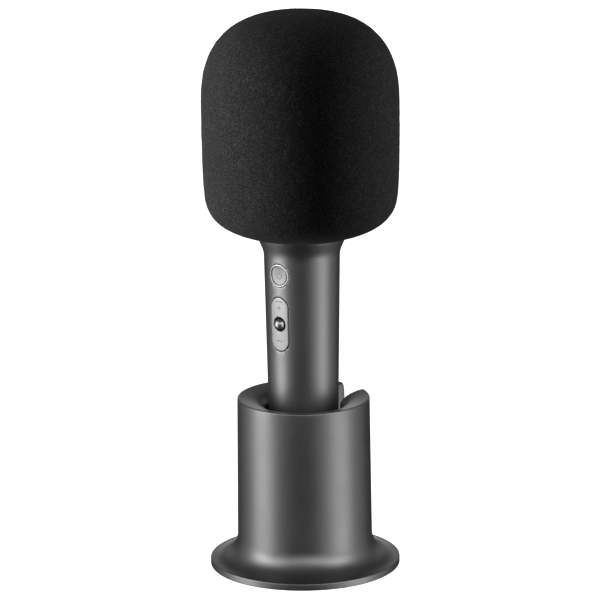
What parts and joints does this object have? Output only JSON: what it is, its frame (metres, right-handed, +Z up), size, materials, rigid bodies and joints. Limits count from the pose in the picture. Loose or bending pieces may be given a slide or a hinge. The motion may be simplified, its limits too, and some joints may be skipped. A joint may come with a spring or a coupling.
{
  "type": "karaoke microphone in desk stand",
  "caption": "Cordless handheld karaoke microphone with a slip-on foam cover and side buttons, standing in a flared round desk cup with a cable slot.",
  "frame": {"origin": "centre of the foot ring's underside, on the table", "axes": "+Z up along the cup and the microphone, +Y towards the cup's cable slot; the microphone's buttons face 12 degrees from -Y towards +X"},
  "size_m": [0.0848, 0.0848, 0.245],
  "materials": {
    "gunmetal": "satin",
    "silver_trim": "satin",
    "steel": "satin",
    "black_gloss": "gloss",
    "black_plastic": "matte",
    "black_rubber": "matte",
    "foam": "matte",
    "circuit_board": "satin",
    "cell_wrap": "gloss",
    "cone_paper": "matte"
  },
  "bodies": {
    "stand": {"stand_shell": "gunmetal", "cup_liner": "black_rubber", "ballast_ring": "steel", "base_plate": "black_plastic", "foot_ring": "black_rubber", "base_screw_1": "steel", "base_screw_2": "steel", "base_screw_3": "steel"},
    "microphone": {"handle_shell": "gunmetal", "end_cap": "black_plastic", "charge_port": "steel", "port_board": "circuit_board", "battery_cell": "cell_wrap", "chassis": "black_plastic", "main_board": "circuit_board", "power_switch": "steel", "volume_up_switch": "steel", "centre_switch": "steel", "volume_down_switch": "steel", "button_carrier": "black_plastic", "power_ring": "silver_trim", "neck_collar": "black_plastic", "head_base": "black_plastic", "basket_hoop": "steel", "basket": "steel", "speaker_chamber": "black_plastic", "left_speaker_frame": "black_plastic", "left_speaker_magnet": "steel", "left_speaker_surround": "black_rubber", "right_speaker_frame": "black_plastic", "right_speaker_magnet": "steel", "right_speaker_surround": "black_rubber", "capsule": "steel", "capsule_mount": "black_rubber"},
    "power_button": {"power_button": "gunmetal"},
    "volume_rocker": {"volume_rocker": "gunmetal"},
    "centre_button": {"centre_button": "black_gloss"},
    "left_cone": {"left_speaker_cone": "cone_paper"},
    "right_cone": {"right_speaker_cone": "cone_paper"},
    "windscreen": {"foam_windscreen": "foam"}
  },
  "joints": [
    {"name": "mic_lift", "type": "slide", "parent": "stand", "child": "microphone", "axis": [0, 0, 1], "range_m": [0, 0.07]},
    {"name": "windscreen_pull", "type": "slide", "parent": "microphone", "child": "windscreen", "axis": [0, 0, 1], "range_m": [0, 0.1], "deforming": ["foam_windscreen"]},
    {"name": "power_press", "type": "slide", "parent": "microphone", "child": "power_button", "axis": [-0.2079, 0.9781, 0], "range_m": [0, 0.0005], "stiffness_N_per_m": 400},
    {"name": "volume_rock", "type": "hinge", "parent": "microphone", "child": "volume_rocker", "pos_m": [0.00241, -0.01135, 0.1112], "axis": [0.9781, 0.2079, 0], "range_deg": [-2.5, 2.5], "stiffness_Nm_per_rad": 0.03},
    {"name": "centre_press", "type": "slide", "parent": "microphone", "child": "centre_button", "axis": [-0.2079, 0.9781, 0], "range_m": [0, 0.0005], "stiffness_N_per_m": 400},
    {"name": "left_cone_travel", "type": "slide", "parent": "microphone", "child": "left_cone", "axis": [-0.9781, -0.2079, 0], "range_m": [-0.0008, 0.0008], "stiffness_N_per_m": 600},
    {"name": "right_cone_travel", "type": "slide", "parent": "microphone", "child": "right_cone", "axis": [0.9781, 0.2079, 0], "range_m": [-0.0008, 0.0008], "stiffness_N_per_m": 600}
  ]
}
